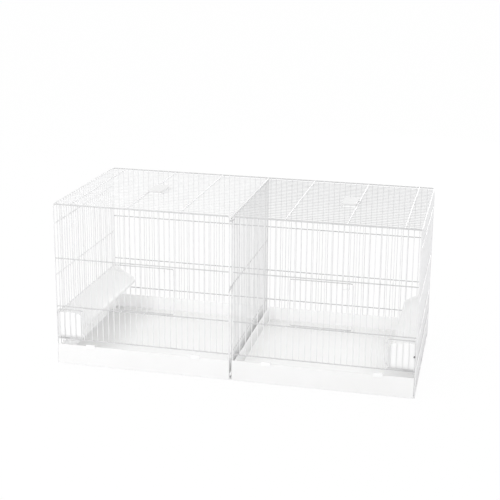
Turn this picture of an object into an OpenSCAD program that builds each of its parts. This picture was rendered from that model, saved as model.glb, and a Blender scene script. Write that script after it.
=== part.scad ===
// Two-compartment canary breeding cage of welded wire with plastic trays and side feeders.
// Origin: middle of the base, on the surface that the cage stands on. +X right, +Y back, +Z up.

/* [Overall] */
// Width over the corner posts
cage_w = 900; // [700:1:1100]
// Depth between the middles of the front and rear wires
cage_d = 410; // [330:1:500]
// Height of the middle of the top wires
cage_h = 415; // [380:1:520]

/* [Wires] */
// Diameter of the posts and base wires
post_d = 3.2; // [2.8:0.1:4]
// Diameter of the wires that run along each panel
rail_d = 2.8; // [2.2:0.1:3.2]
// Diameter of the closely spaced wires
wire_d = 2.0; // [1.6:0.1:2.4]
// Distance from one closely spaced wire to the next
pitch = 14.6; // [12:0.1:16]
// How far crossing wires sink into each other at a weld
weld = 0.3; // [0.2:0.05:0.5]

/* [Wire levels] */
// Height of the wire above the doors
mid_z = 277; // [250:1:320]
// Height of the wire on which the doors turn
low_z = 152; // [148:1:170]
// Height of the lowest wire of the front panels
sill_z = 67; // [62:1:72]
// Heights of the upper wires on the end panels
end_upper_z = 365; // [330:1:370]
// Height of the middle wire on the end panels
end_mid_z = 233; // [180:1:280]
// Place of the roof's front-to-rear wire nearest the middle
roof_inner_x = 128.5; // [100:0.1:150]
// Place of the roof's front-to-rear wire that carries the lid
roof_lid_x = 263; // [230:0.1:290]
// How much further out that wire stands in the right half
lid_shift = 12; // [0:0.5:20]
// Place of the roof's outermost front-to-rear wire, from the end
roof_outer_in = 41.1; // [30:0.1:60]

/* [Doors] */
// Width of a door over its frame
door_w = 154; // [110:1:180]
// Distance of a door's middle from the middle of the cage
door_x = 219; // [180:0.5:240]
// Gap between a door's frame and the wire above it
door_top_gap = 2.4; // [1:0.1:6]
// Diameter of the frame wire of doors
door_d = 2.4; // [2:0.1:2.6]
// Radius of the hinge loops over the wire
loop_r = 3.45; // [3.2:0.05:4]
// Width of a hinge loop
loop_t = 2.4; // [1.6:0.1:4]
// Height of the catch on a door
catch_z = 257; // [200:1:260]
// Height of the catch's upturned end
catch_tick = 5; // [3:0.5:8]

/* [Corner doors] */
// Width of a corner door over its frame
corner_w = 66; // [50:0.5:80]
// Gap between a corner door and the corner post
corner_gap = 0.6; // [0.4:0.1:2]
// Distance from the middle of a corner door's top wire to the wire above it
corner_top_gap = 8; // [5:0.5:12]
// Gap between a corner door's frame and the wire below it
corner_low_gap = 1.6; // [1:0.1:3]
// Radius of a corner door's hinge loops
corner_loop_r = 3.2; // [3:0.05:3.6]
// Radius of the knob
knob_r = 2; // [1.5:0.1:3]
// Length of the knob
knob_l = 5; // [3:0.5:8]
// Height of the knob
knob_z = 106; // [90:1:130]

/* [Divider] */
// Width of the slot between the centre posts
slot_w = 5.6; // [5.2:0.1:8]
// Diameter of the divider's frame wires
div_rail_d = 2.4; // [2:0.1:2.6]
// Diameter of the divider's upright wires
div_wire_d = 1.8; // [1.4:0.1:2]
// Height of the divider's middle wire
div_mid_z = 240; // [180:1:300]
// Height of the divider's lower hook
hook_rise = 27; // [10:1:40]
// Height of the divider's upper hook
top_hook_rise = 7; // [4:0.5:12]

/* [Trays] */
// Height of a tray's side walls above the surface
tray_h = 47; // [35:1:54]
// Height of a tray's front above the surface
front_h = 53; // [36:1:55]
// Wall of a tray
tray_wall = 2.5; // [1.5:0.1:3.5]
// Thickness of a tray's front
front_t = 3; // [2:0.1:4]
// Gap between the front of a tray and the surface
front_lift = 1; // [0.5:0.1:3]
// Length of the clips on a tray's front
clip_w = 23; // [12:1:40]
// Height of the clips
clip_h = 10; // [6:0.5:14]
// Distance of the clips from the tray's middle
clip_x = 136; // [80:1:170]

/* [Feeders] */
// Width of a feeder's front cap
feeder_w = 64; // [50:1:70]
// Height of a feeder's top edge at the wall
feeder_top = 134; // [120:1:140]
// Height of a feeder's lowest point
feeder_low = 62; // [60:1:66]
// Thickness of a feeder's front cap
cap_t = 3; // [2:0.1:4]
// How much slimmer the feeder is than its front cap
feeder_slim = 2; // [1:1:10]
// Drop of the feeder's cover from the wall to its rounded edge
feeder_slope = 33; // [20:1:36]
// Wall of a feeder
feeder_wall = 2; // [1.5:0.1:3]
// Height of a feeder's trough at the wall
trough_h = 17; // [14:0.5:24]
// Height of the slot through which the birds feed
feed_slot = 9; // [6:0.5:12]
// Length of the rear cap
rear_cap_l = 19; // [8:1:30]

/* [Roof lids] */
// Size of a roof lid from the hinge to its free edge
lid_w = 36.4; // [25:0.1:45]
// Size of a roof lid along the hinge
lid_l = 66; // [50:1:80]
// Height of a roof lid
lid_h = 5.2; // [3:0.1:8]
// Wall of a roof lid
lid_wall = 2; // [1:0.1:2.5]

/* [Clearances] */
// Gap between pieces that slide or turn past each other
run_gap = 0.3; // [0.3:0.05:0.5]
// Gap between a tray and the posts that it passes
tray_gap = 0.5; // [0.4:0.1:2]
// Gap between a catch or hook and the wire that it stands in front of
catch_gap = 0.5; // [0.4:0.1:1]

/* [Hidden] */
wire_colour = "gainsboro";
plastic_colour = "white";

sides = 8;                                   // the wires are eight-sided
oct = 1 / cos(180 / sides);                  // corner radius over flat radius
cut = 1;                                     // a cutting shape runs this far past what it cuts
half_w = cage_w / 2;
half_d = cage_d / 2;
post_x = half_w - post_d / 2;                // corner posts
inner_x = slot_w / 2 + post_d / 2;           // centre posts
span_in = slot_w / 2 + post_d;               // a front panel's wires run from here
span_out = half_w - post_d;                  // to here
bar_in = (rail_d + wire_d) / 2 - weld;       // the close wires lie this far inside the rails
end_in = post_x - bar_in;                    // middle of the end panels' upright wires
weld_over = 0.6;                             // a cut wire ends this far past a rail
bar_drop = 0.4;                              // the upright wires end this far below the top
panel_top = cage_h + rail_d / 2 - bar_drop;
rail_top = cage_h + rail_d / 2;

first_bar = ceil((span_in + wire_d) / pitch - 0.5);
last_bar = floor((span_out - wire_d) / pitch - 0.5);
last_row = floor((half_d - rail_d - wire_d) / pitch);
function bar_x(j) = (j + 0.5) * pitch;
// A roof wire that would meet an upright of the front or rear stands beside it.
side_step = (rail_d + wire_d) / 2 + run_gap;
function nearest_bar(x) = bar_x(round(x / pitch - 0.5));
function beside_bar(x) = abs(x - nearest_bar(x)) >= side_step ? x
    : nearest_bar(x) + (x < nearest_bar(x) ? -side_step : side_step);

band_split = mid_z - rail_d / 2 - weld_over;     // the upper band of a front panel starts here
low_split = low_z - rail_d / 2 - weld_over;      // the lower band ends here
door_side = 1.5;                                 // from a door's edge to the split of the rail
door_from = door_x - door_w / 2;
door_to = door_x + door_w / 2;
loop_sink = 0.75;                                // how far a hinge loop sinks into the door's frame
door_low = low_z + loop_r + door_d / 2 - loop_sink;  // middle of the door's bottom wire
door_top = mid_z - (rail_d + door_d) / 2 - door_top_gap;
door_bar_in = (door_d + wire_d) / 2 - weld;
bar_over = 0.8;                                  // uprights end this far past the middle of a frame wire
slim = 0.2;                                      // a wire that ends inside another is this much thinner
loop_bore = rail_d / 2 * oct + run_gap;
door_bars = [for (j = [first_bar:last_bar])
    if (abs(bar_x(j) - door_x) < door_w / 2 - door_d - wire_d) j];
inner_bars = [for (j = [first_bar:last_bar]) if (bar_x(j) < door_from - door_side - wire_d / 2) j];
outer_bars = [for (j = [first_bar:last_bar]) if (bar_x(j) > door_to + door_side - wire_d / 2) j];

catch_end = 0.7;                                 // a catch's ends stand this far past the uprights
catch_out = 1.8;                                 // its upturned end is this far past the last upright
link_in = 4.7;                                   // its long link is this far inside the last upright
link_over = 2;                                   // and ends this far above the wire over the door

corner_to = span_out - corner_gap;               // outer edge of a corner door
corner_from = corner_to - corner_w;
corner_sink = 0.5;                               // how far a hinge loop sinks into the corner door
corner_pin_x = corner_from - corner_loop_r + corner_sink;    // hinge wire of a corner door
knob_over = 0.2;                                 // the knob reaches this far past the door's edge
knob_x = corner_to - knob_r + knob_over;
corner_bore = door_d / 2 * oct + run_gap;
corner_loop_in = 10;                             // from a corner door's frame wires to its loops
corner_low = sill_z + (rail_d + door_d) / 2 + corner_low_gap;
corner_top = low_z - corner_top_gap;
corner_bars = [for (j = [first_bar:last_bar])
    if (bar_x(j) > corner_from + door_d + wire_d && bar_x(j) < corner_to - door_d - wire_d) j];
lower_bars = [for (j = [first_bar:last_bar]) if (bar_x(j) < corner_pin_x - door_d - wire_d) j];
pin_over = 0.5;                                  // the sill runs this far past the hinge wire
sill_split = corner_pin_x + door_d / 2 + pin_over;

runner_x = [0, half_w / 3, half_w * 2 / 3];      // base wires under each half
runner_in = 2;                                   // they end this far inside the panels
rail_in = 5.6;                                   // the base rails lie this far inside the panels
rail_end = 0.5;                                  // and end this far inside the cage's width
rail_z = post_d * 1.5;                           // middle of the base rails
rest_z = post_d * 2;                             // top of the base rails
rear_lift = 0.2;                                 // the rear uprights start this far above them

tray_x0 = span_in + tray_gap;                    // box of a tray
tray_x1 = end_in - wire_d / 2 - tray_gap;
tray_z0 = rest_z + run_gap;
tray_back = 0.4;                                 // a tray ends this far in front of the rear rail's middle
front_y1 = -half_d - post_d / 2 - run_gap;       // back of a tray's front
front_y0 = front_y1 - front_t;
tray_y1 = half_d - rail_in - tray_back;
front_in = 1.4;                                  // a tray's front covers the centre post by this much
front_out = 0.8;                                 // and ends this far inside the corner post
front_x0 = inner_x - front_in;
front_x1 = half_w - post_d - front_out;
clip_t = 1.4;                                    // wall of a clip
clip_over = 4;                                   // a clip's height above the tray's front

feeder_x1 = end_in - wire_d / 2 - run_gap;       // against the end panel
feeder_x0 = feeder_x1 - feeder_w;
body_x0 = feeder_x0 + feeder_slim;
cap_gap = 1.4;                                   // the cap stands this far behind the corner door
cap_y0 = -half_d + door_bar_in + wire_d / 2 + cap_gap;
body_y0 = cap_y0 + cap_t;
feeder_back = 8;                                 // a feeder ends this far in front of the rear wires
body_y1 = half_d - feeder_back - rear_cap_l;
edge_r = 8;                                      // rounded upper edge of a feeder
under_r = 12;                                    // rounded lower edge
under_in = 18;                                   // its middle is this far from the wall
cap_edge_r = 24;
cap_under_r = 16;
cap_over = 1;                                    // the cap stands this far above the feeder
wall_strip = 1;                                  // flat strip of an outline along the wall
cap_low = sill_z;
cap_top = feeder_top + cap_over;
slot_top = feeder_low + trough_h;                // top of the feeding slot
end_feeder_z = feeder_top - 1;                   // end panel's wire beside the feeder's top

roof_z = cage_h - bar_in;                        // close wires of the roof
roof_bar_play = 0.2;                             // the roof bar is this much narrower than the slot
roof_bar_w = slot_w - roof_bar_play;
roof_bar_h = 4.8;
lid_y = -pitch / 2;                              // middle of a lid
lid_z0 = rail_top + run_gap;
lid_in = 1.7;                                    // from the hinge wire to the lid
lid_lap = 1;                                     // the lid's free edge laps its wire by this much
function lid_hinge_x(name) = beside_bar(name == "right" ? roof_lid_x + lid_shift : roof_lid_x);
function lid_x0(name) = lid_hinge_x(name) - lid_in - lid_w;
lid_loop_r = 3.4;
cut_rows = [for (k = [-last_row:last_row]) if (abs(k * pitch - lid_y) < lid_l / 2) k];
first_cut = min(cut_rows);
last_cut = max(cut_rows);

div_x = -0.85;                                   // the divider's frame lies left of its uprights
div_bar_x = div_x + (div_rail_d + div_wire_d) / 2 - weld;
div_front_in = 2;                                // the divider starts this far behind the front wires
div_back_in = 4;                                 // and ends this far in front of the rear ones
div_end_in = 2;                                  // its end uprights stand this far from its ends
div_y0 = -half_d + div_front_in;
div_y1 = half_d - div_back_in;
div_skid_gap = 0.5;                              // gap under the divider
div_top_gap = 1;                                 // gap above it
div_skid_z = rest_z + div_rail_d / 2 + div_skid_gap;
div_top_z = rail_top - roof_bar_h - div_top_gap - div_rail_d / 2;
hook_y = -half_d - post_d / 2 - catch_gap - div_rail_d / 2;
hook_x = [-5, 8];                                // ends of the lower hook
top_hook_x = [-3, 9];                            // ends of the upper hook

// Straight eight-sided wires with flats along the axes.
module wire_z(x, y, z0, z1, d)
    translate([x, y, z0]) rotate(180 / sides) cylinder(d = d * oct, h = z1 - z0, $fn = sides);
module wire_x(x0, x1, y, z, d)
    translate([x0, y, z]) rotate([0, 90, 0]) rotate(180 / sides)
        cylinder(d = d * oct, h = x1 - x0, $fn = sides);
module wire_y(x, y0, y1, z, d)
    translate([x, y0, z]) rotate([-90, 0, 0]) rotate(180 / sides)
        cylinder(d = d * oct, h = y1 - y0, $fn = sides);

// A hinge loop round a wire that runs along X, Y or Z.
module loop_x(x, y, z, r, bore, t)
    translate([x - t / 2, y, z]) rotate([0, 90, 0]) loop(r, bore, t);
module loop_y(x, y, z, r, bore, t)
    translate([x, y + t / 2, z]) rotate([90, 0, 0]) loop(r, bore, t);
module loop_z(x, y, z, r, bore, t)
    translate([x, y, z - t / 2]) loop(r, bore, t);
module loop(r, bore, t) {
    difference() {
        cylinder(r = r, h = t, $fn = 48);
        translate([0, 0, -cut]) cylinder(r = bore, h = t + 2 * cut, $fn = 48);
    }
}

// Half of the cage is drawn on the right and mirrored for the left.
module side(name) {
    if (name == "left") mirror([1, 0, 0]) children();
    else children();
}

module base_runners() {
    color(wire_colour) {
        for (s = [-1, 1]) wire_y(s * post_x, -half_d + post_d / 2, half_d - post_d / 2, post_d / 2, post_d);
        for (x = runner_x, s = x == 0 ? [1] : [-1, 1])
            wire_y(s * x, -half_d + runner_in, half_d - runner_in, post_d / 2, post_d);
    }
}

module base_rails() {
    color(wire_colour)
        for (s = [-1, 1])
            wire_x(-half_w + rail_end, half_w - rail_end, s * (half_d - rail_in), rail_z, post_d);
}

module front_posts() {
    color(wire_colour)
        for (x = [inner_x, post_x], s = [-1, 1]) wire_z(s * x, -half_d, 0, rail_top, post_d);
}

module front_bars(bars, z0, z1)
    for (j = bars) wire_z(bar_x(j), -half_d + bar_in, z0, z1, wire_d);

module front_upper(name) {
    color(wire_colour) side(name) {
        front_bars([first_bar:last_bar], band_split, panel_top);
        for (z = [mid_z, cage_h]) wire_x(span_in, span_out, -half_d, z, rail_d);
    }
}

module front_inner(name) {
    color(wire_colour) side(name) {
        front_bars(inner_bars, low_split, band_split);
        wire_x(span_in, door_from - door_side, -half_d, low_z, rail_d);
    }
}

module front_outer(name) {
    color(wire_colour) side(name) {
        front_bars(outer_bars, low_split, band_split);
        wire_x(door_to + door_side, span_out, -half_d, low_z, rail_d);
    }
}

// Lower band with the wire on which the door turns and the hinge wire of the corner door.
module front_lower(name) {
    color(wire_colour) side(name) {
        for (j = lower_bars) {
            under_door = bar_x(j) > door_from - door_side && bar_x(j) < door_to + door_side;
            top = under_door ? low_z + rail_d / 2 + weld_over : low_split;
            front_bars([j], sill_z - rail_d / 2 - weld_over, top);
        }
        wire_x(span_in, sill_split, -half_d, sill_z, rail_d);
        wire_x(door_from - door_side, door_to + door_side, -half_d, low_z, rail_d);
        wire_z(corner_pin_x, -half_d, sill_z, low_z - rail_d / 2, door_d);
    }
}

module feeder_sills() {
    color(wire_colour)
        for (name = ["left", "right"]) side(name) wire_x(sill_split, span_out, -half_d, sill_z, rail_d);
}

module rear_panel() {
    color(wire_colour) {
        for (s = [-1, 1]) {
            wire_z(s * post_x, half_d, 0, rail_top, post_d);
            for (j = [0:last_bar])
                wire_z(s * bar_x(j), half_d - bar_in, rest_z + rear_lift, panel_top, wire_d);
        }
        for (z = [sill_z, low_z, mid_z, cage_h]) wire_x(-post_x, post_x, half_d, z, rail_d);
    }
}

module end_panel(name) {
    color(wire_colour) side(name) {
        for (k = [-last_row:last_row])
            wire_z(end_in, k * pitch, post_d, panel_top, wire_d);
        for (z = [sill_z, end_feeder_z, end_mid_z, end_upper_z, cage_h])
            wire_y(post_x, -half_d + post_d / 2, half_d - post_d / 2, z, rail_d);
    }
}

// One half of the roof, with an opening under its lid.
module roof(name) {
    edge_x = lid_x0(name) + lid_lap;
    color(wire_colour) side(name) {
        for (k = [-last_row:last_row]) {
            if (k < first_cut || k > last_cut) roof_wire(k, roof_bar_w / 2, end_in - wire_d / 2);
            else {
                roof_wire(k, roof_bar_w / 2, edge_x + rail_d / 2);
                roof_wire(k, lid_hinge_x(name) - rail_d / 2, end_in - wire_d / 2);
            }
        }
        for (x = [beside_bar(roof_inner_x), lid_hinge_x(name), beside_bar(half_w - roof_outer_in)])
            wire_y(x, -half_d + rail_d / 2, half_d - rail_d / 2, cage_h, rail_d);
        wire_y(edge_x, (first_cut - 1) * pitch - wire_d, (last_cut + 1) * pitch + wire_d, cage_h, rail_d);
    }
}
module roof_wire(k, x0, x1) wire_x(x0, x1, k * pitch, roof_z, wire_d);

module roof_bar() {
    color(plastic_colour)
        translate([-roof_bar_w / 2, -half_d - rail_d / 2, rail_top - roof_bar_h])
            cube([roof_bar_w, cage_d, roof_bar_h]);
}

// Outline of a feeder in a plane across the cage, drawn in by t.
module feeder_outline(t) {
    hull() {
        translate([feeder_x1 - t - wall_strip, feeder_low + t])
            square([wall_strip, feeder_top - feeder_low - 2 * t]);
        translate([body_x0 + edge_r, feeder_top - feeder_slope - edge_r]) circle(r = edge_r - t, $fn = 48);
        translate([feeder_x1 - under_in, feeder_low + under_r]) circle(r = under_r - t, $fn = 48);
    }
}

module cap_outline() {
    hull() {
        translate([feeder_x1 - wall_strip, cap_low]) square([wall_strip, cap_top - cap_low]);
        translate([feeder_x0 + cap_edge_r, cap_top - cap_edge_r]) circle(r = cap_edge_r, $fn = 64);
        translate([feeder_x0 + cap_under_r, cap_low + cap_under_r]) circle(r = cap_under_r, $fn = 48);
    }
}

module feeder_along(y0, y1) translate([0, y1, 0]) rotate([90, 0, 0]) linear_extrude(y1 - y0) children();

module feeder_tube() {
    difference() {
        feeder_along(body_y0, body_y1) feeder_outline(0);
        feeder_along(body_y0 - cut, body_y1 + cut) feeder_outline(feeder_wall);
    }
}

// The room of a feeder above a level.
module above(z) translate([feeder_x0, -half_d, z]) cube([feeder_w + cut, cage_d, cage_h]);

module feeder_trough(name) {
    color(plastic_colour) side(name) difference() {
        feeder_tube();
        above(slot_top);
        translate([feeder_x0, -half_d, slot_top - feed_slot])
            cube([feeder_w - feeder_wall - wall_strip, cage_d, feed_slot + cut]);
    }
}

module feeder_cover(name) {
    color(plastic_colour) side(name) intersection() {
        feeder_tube();
        above(slot_top);
    }
}

module feeder_front_cap(name) {
    color(plastic_colour) side(name) feeder_along(cap_y0, body_y0) cap_outline();
}

module feeder_rear_cap(name) {
    color(plastic_colour) side(name) difference() {
        feeder_along(body_y1, body_y1 + rear_cap_l) feeder_outline(0);
        feeder_along(body_y1 - cut, body_y1 + rear_cap_l - feeder_wall) feeder_outline(feeder_wall);
    }
}

module door(name) {
    color(wire_colour) side(name) {
        for (z = [door_low, door_top]) wire_x(door_from, door_to, -half_d, z, door_d);
        for (x = [door_from + door_d / 2, door_to - door_d / 2])
            wire_z(x, -half_d, door_low, door_top, door_d - slim);
        for (j = door_bars)
            wire_z(bar_x(j), -half_d + door_bar_in, door_low - bar_over, door_top + bar_over, wire_d);
        for (x = [bar_x(door_bars[0]) + pitch / 2, door_x, bar_x(door_bars[len(door_bars) - 1]) - pitch / 2])
            loop_x(x, -half_d, low_z, loop_r, loop_bore, loop_t);
    }
}

// A bent wire that slides on the door's last two uprights and stands in front of the wire above.
module door_catch(name) {
    last = bar_x(door_bars[len(door_bars) - 1]);
    y_slide = -half_d + door_bar_in - wire_d - run_gap;
    y_link = -half_d - rail_d / 2 - catch_gap - wire_d / 2;
    link_x = last - link_in;
    tick_x = last + catch_out;
    color(wire_colour) side(name) {
        wire_x(last - pitch - catch_end, tick_x, y_slide, catch_z, wire_d);
        wire_z(tick_x, y_slide, catch_z, catch_z + catch_tick, wire_d - slim);
        wire_y(link_x, y_link, y_slide, catch_z, wire_d - slim);
        wire_z(link_x, y_link, catch_z - bar_over, mid_z + rail_d / 2 + link_over, wire_d);
    }
}

module corner_door(name) {
    color(wire_colour) side(name) {
        for (z = [corner_low, corner_top]) wire_x(corner_from, corner_to, -half_d, z, door_d);
        for (x = [corner_from + door_d / 2, corner_to - door_d / 2])
            wire_z(x, -half_d, corner_low, corner_top, door_d - slim);
        for (j = corner_bars)
            wire_z(bar_x(j), -half_d + door_bar_in, corner_low - bar_over, corner_top + bar_over, wire_d);
        for (z = [corner_low + corner_loop_in, corner_top - corner_loop_in])
            loop_z(corner_pin_x, -half_d, z, corner_loop_r, corner_bore, loop_t);
    }
}

module corner_knob() {
    color("dimgray")
        translate([knob_x, -half_d - door_d / 2, knob_z]) rotate([90, 0, 0])
            cylinder(r = knob_r, h = knob_l, $fn = 48);
}

module tray(name) {
    color(plastic_colour) side(name) difference() {
        union() {
            translate([tray_x0, front_y0 + front_t / 2, tray_z0])
                cube([tray_x1 - tray_x0, tray_y1 - front_y1 + front_t / 2, tray_h - tray_z0]);
            translate([front_x0, front_y0, front_lift])
                cube([front_x1 - front_x0, front_t, front_h - front_lift]);
        }
        translate([tray_x0 + tray_wall, front_y1, tray_z0 + tray_wall])
            cube([tray_x1 - tray_x0 - 2 * tray_wall, tray_y1 - front_y1 - tray_wall, front_h]);
    }
}

module tray_clips(name) {
    middle = (front_x0 + front_x1) / 2;
    color(plastic_colour) side(name) for (s = [-1, 1])
        translate([middle + s * clip_x - clip_w / 2, front_y0 - clip_t, front_h + clip_over - clip_h])
            difference() {
                cube([clip_w, front_t + 2 * clip_t, clip_h]);
                translate([-cut, clip_t, -cut]) cube([clip_w + 2 * cut, front_t, clip_h - clip_over + cut]);
            }
}

module divider() {
    color(wire_colour) {
        for (z = [div_skid_z, sill_z, div_mid_z, div_top_z]) wire_y(div_x, div_y0, div_y1, z, div_rail_d);
        for (y = [div_y0 + div_end_in, div_y1 - div_end_in]) div_upright(y);
        for (k = [-last_row:last_row]) div_upright(k * pitch);
    }
}

module div_upright(y) wire_z(div_bar_x, y, div_skid_z - bar_over, div_top_z + bar_over, div_wire_d);

// The divider's hooked ends, which stop it against the centre posts.
module divider_hooks() {
    color(wire_colour) {
        hook(div_mid_z, hook_rise, hook_x);
        hook(div_top_z - top_hook_rise / 2, top_hook_rise, top_hook_x);
    }
}
module hook(z, rise, ends) {
    run = ends[1] - ends[0];
    wire_y(div_x, hook_y, div_y0, z, div_rail_d - slim);
    translate([ends[0], hook_y, z - rise / 2]) rotate([0, atan2(run, rise), 0]) rotate(180 / sides)
        cylinder(d = div_rail_d * oct, h = sqrt(run * run + rise * rise), $fn = sides);
}

module roof_lid(name) {
    y0 = lid_y - lid_l / 2;
    color(plastic_colour) side(name) {
        difference() {
            translate([lid_x0(name), y0, lid_z0]) cube([lid_w, lid_l, lid_h]);
            translate([lid_x0(name) + lid_wall, y0 + lid_wall, lid_z0 - cut])
                cube([lid_w - 2 * lid_wall, lid_l - 2 * lid_wall, lid_h + cut - lid_wall]);
        }
        for (s = [-1, 1])
            loop_y(lid_hinge_x(name), lid_y + s * pitch, cage_h, lid_loop_r, loop_bore, loop_t);
    }
}

base_runners();
base_rails();
front_posts();
feeder_sills();
front_upper("left");  // front_upper_left
front_upper("right");  // front_upper_right
front_inner("left");  // front_inner_left
front_inner("right");  // front_inner_right
front_outer("left");  // front_outer_left
front_outer("right");  // front_outer_right
front_lower("left");  // front_lower_left
front_lower("right");  // front_lower_right
rear_panel();
end_panel("left");  // end_panel_left
end_panel("right");  // end_panel_right
roof("left");  // roof_left
roof("right");  // roof_right
roof_bar();
feeder_trough("left");  // feeder_trough_left
feeder_trough("right");  // feeder_trough_right
feeder_cover("left");  // feeder_cover_left
feeder_cover("right");  // feeder_cover_right
feeder_front_cap("left");  // feeder_front_cap_left
feeder_front_cap("right");  // feeder_front_cap_right
feeder_rear_cap("left");  // feeder_rear_cap_left
feeder_rear_cap("right");  // feeder_rear_cap_right
door("left");  // door_left
door("right");  // door_right
door_catch("left");  // door_catch_left
door_catch("right");  // door_catch_right
corner_door("left");  // corner_door_left
corner_door("right");  // corner_door_right
corner_knob();
tray("left");  // tray_left
tray("right");  // tray_right
tray_clips("left");  // tray_clips_left
tray_clips("right");  // tray_clips_right
divider();
divider_hooks();
roof_lid("left");  // roof_lid_left
roof_lid("right");  // roof_lid_right
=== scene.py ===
from math import acos, atan2, cos, degrees, pi, radians, sin, tan

import bmesh
import bpy
from mathutils import Matrix, Vector


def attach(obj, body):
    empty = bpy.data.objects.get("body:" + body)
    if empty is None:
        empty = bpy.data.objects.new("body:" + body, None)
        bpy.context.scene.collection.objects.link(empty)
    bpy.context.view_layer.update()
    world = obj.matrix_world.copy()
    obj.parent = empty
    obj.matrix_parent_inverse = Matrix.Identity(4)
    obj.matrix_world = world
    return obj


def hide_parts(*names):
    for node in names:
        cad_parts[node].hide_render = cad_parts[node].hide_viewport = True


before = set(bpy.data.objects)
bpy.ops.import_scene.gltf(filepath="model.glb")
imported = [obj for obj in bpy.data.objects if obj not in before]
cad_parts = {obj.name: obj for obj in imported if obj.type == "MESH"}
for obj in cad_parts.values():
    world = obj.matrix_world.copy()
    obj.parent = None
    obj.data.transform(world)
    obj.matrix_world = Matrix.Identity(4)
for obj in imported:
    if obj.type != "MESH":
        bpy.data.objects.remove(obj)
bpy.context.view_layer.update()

mm = 0.001
joinGap = 0.01 * mm  # points nearer than this are one
scene = bpy.context.scene

# The camera stands where the photograph was taken from: right of the middle and above, turned to the left.
cameraSet = {
    "place": (0.5966946, -2.5448329, 1.0807575),
    "yaw": 0.20255793,
    "down": 0.24358463,
    "roll": 0.01573572,
    "lens": 76.396,
    "sensor": 36.0,
    "shiftX": -0.06,
    "shiftY": -0.12,
    "farEnd": 60,
}


def makeCamera(s):
    forward = Vector((-sin(s["yaw"]) * cos(s["down"]), cos(s["yaw"]) * cos(s["down"]), -sin(s["down"])))
    right = Vector((cos(s["yaw"]), sin(s["yaw"]), 0))
    up = right.cross(forward)
    rolledRight = right * cos(s["roll"]) + up * sin(s["roll"])
    rolledUp = up * cos(s["roll"]) - right * sin(s["roll"])
    data = bpy.data.cameras.new("cageCamera")
    data.lens = s["lens"]
    data.sensor_width = s["sensor"]
    data.shift_x = s["shiftX"]
    data.shift_y = s["shiftY"]
    data.clip_end = s["farEnd"]
    camera = bpy.data.objects.new("cageCamera", data)
    turn = Matrix((rolledRight, rolledUp, -forward)).transposed().to_4x4()
    camera.matrix_world = Matrix.Translation(s["place"]) @ turn
    scene.collection.objects.link(camera)
    scene.camera = camera


makeCamera(cameraSet)
print("camera is set")


# Each edge once, in a fixed order.
def edgesOf(verts):
    return list(dict.fromkeys(e for v in verts for e in v.link_edges))


def alongMatrix(start, heading):
    return Matrix.Translation(start) @ heading.to_track_quat("Z", "Y").to_matrix().to_4x4()


def pullRing(bm, edges, shift, grow=1.0):
    made = bmesh.ops.extrude_edge_only(bm, edges=edges)["geom"]
    verts = [g for g in made if isinstance(g, bmesh.types.BMVert)]
    bmesh.ops.translate(bm, verts=verts, vec=shift)
    if grow != 1.0:
        middle = sum((v.co for v in verts), Vector()) / len(verts)
        bmesh.ops.scale(bm, verts=verts, vec=(grow, grow, grow), space=Matrix.Translation(-middle))
    fresh = set(verts)
    return [g for g in made if isinstance(g, bmesh.types.BMEdge) and fresh.issuperset(g.verts)]


wireEnd = {"dome": 0.3, "ring": 0.72}  # a cut end's dome and its last ring, as shares of the wire's radius


# A wire is pulled straight from its first ring and turned round each corner, as on a bending jig.
def bendWire(bm, corners, thick, bend=3.0, closed=False, sides=12, steps=5, coat=0):
    before = set(bm.faces) if coat else set()
    corners = [Vector(c) * mm for c in corners]
    radius = thick * mm / 2
    bend = bend * mm
    dome = radius * wireEnd["dome"]
    if closed:
        middle = (corners[0] + corners[1]) / 2
        corners = [middle] + corners[1:] + [corners[0], middle]
    heading = (corners[1] - corners[0]).normalized()
    here = corners[0]
    small = radius if closed else radius * wireEnd["ring"]
    ring = bmesh.ops.create_circle(bm, segments=sides, radius=small,
                                   matrix=alongMatrix(here, heading))["verts"]
    edges = edgesOf(ring)
    firstRing = list(ring)
    if not closed:
        bmesh.ops.contextual_create(bm, geom=edges)
        edges = pullRing(bm, edges, heading * dome, 1 / wireEnd["ring"])
        here = here + heading * dome
    for corner, after in zip(corners[1:-1], corners[2:]):
        turn = (after - corner).normalized()
        angle = heading.angle(turn)
        axis = heading.cross(turn).normalized()
        reach = bend * tan(angle / 2)
        stop = corner - heading * reach
        edges = pullRing(bm, edges, stop - here)
        centre = stop + axis.cross(heading) * bend
        spun = bmesh.ops.spin(bm, geom=edges, cent=centre, axis=axis, angle=angle, steps=steps,
                              dvec=(0, 0, 0), use_merge=False, use_duplicate=False)
        edges = [g for g in spun["geom_last"] if isinstance(g, bmesh.types.BMEdge)]
        here = corner + turn * reach
        heading = turn
    if closed:
        edges = pullRing(bm, edges, corners[-1] - here)
        lastRing = list(dict.fromkeys(v for e in edges for v in e.verts))
        bmesh.ops.remove_doubles(bm, verts=lastRing + firstRing, dist=joinGap)
    else:
        edges = pullRing(bm, edges, corners[-1] - here - heading * dome)
        edges = pullRing(bm, edges, heading * dome, wireEnd["ring"])
        bmesh.ops.contextual_create(bm, geom=edges)
    # coat gives the new faces a material index; index 1 is a darker wire, which is painted shade.
    if coat:
        for face in set(bm.faces) - before:
            face.material_index = coat


# The level parts of a bent frame take the darker rail material, which is painted shade; reach is a little over
# a wire's radius.
def shadeLevelWires(bm, levels, reach=1.7):
    for face in bm.faces:
        height = face.calc_center_median().z / mm
        if any(abs(height - z) < reach for z in levels):
            face.material_index = 1


# The coating fills the corners where two wires are welded across each other.
def weldBead(bm, place, size):
    stretch = Matrix.Diagonal(Vector(size) * mm).to_4x4()
    bmesh.ops.create_icosphere(bm, subdivisions=1, radius=1.0,
                               matrix=Matrix.Translation(Vector(place) * mm) @ stretch)


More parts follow.
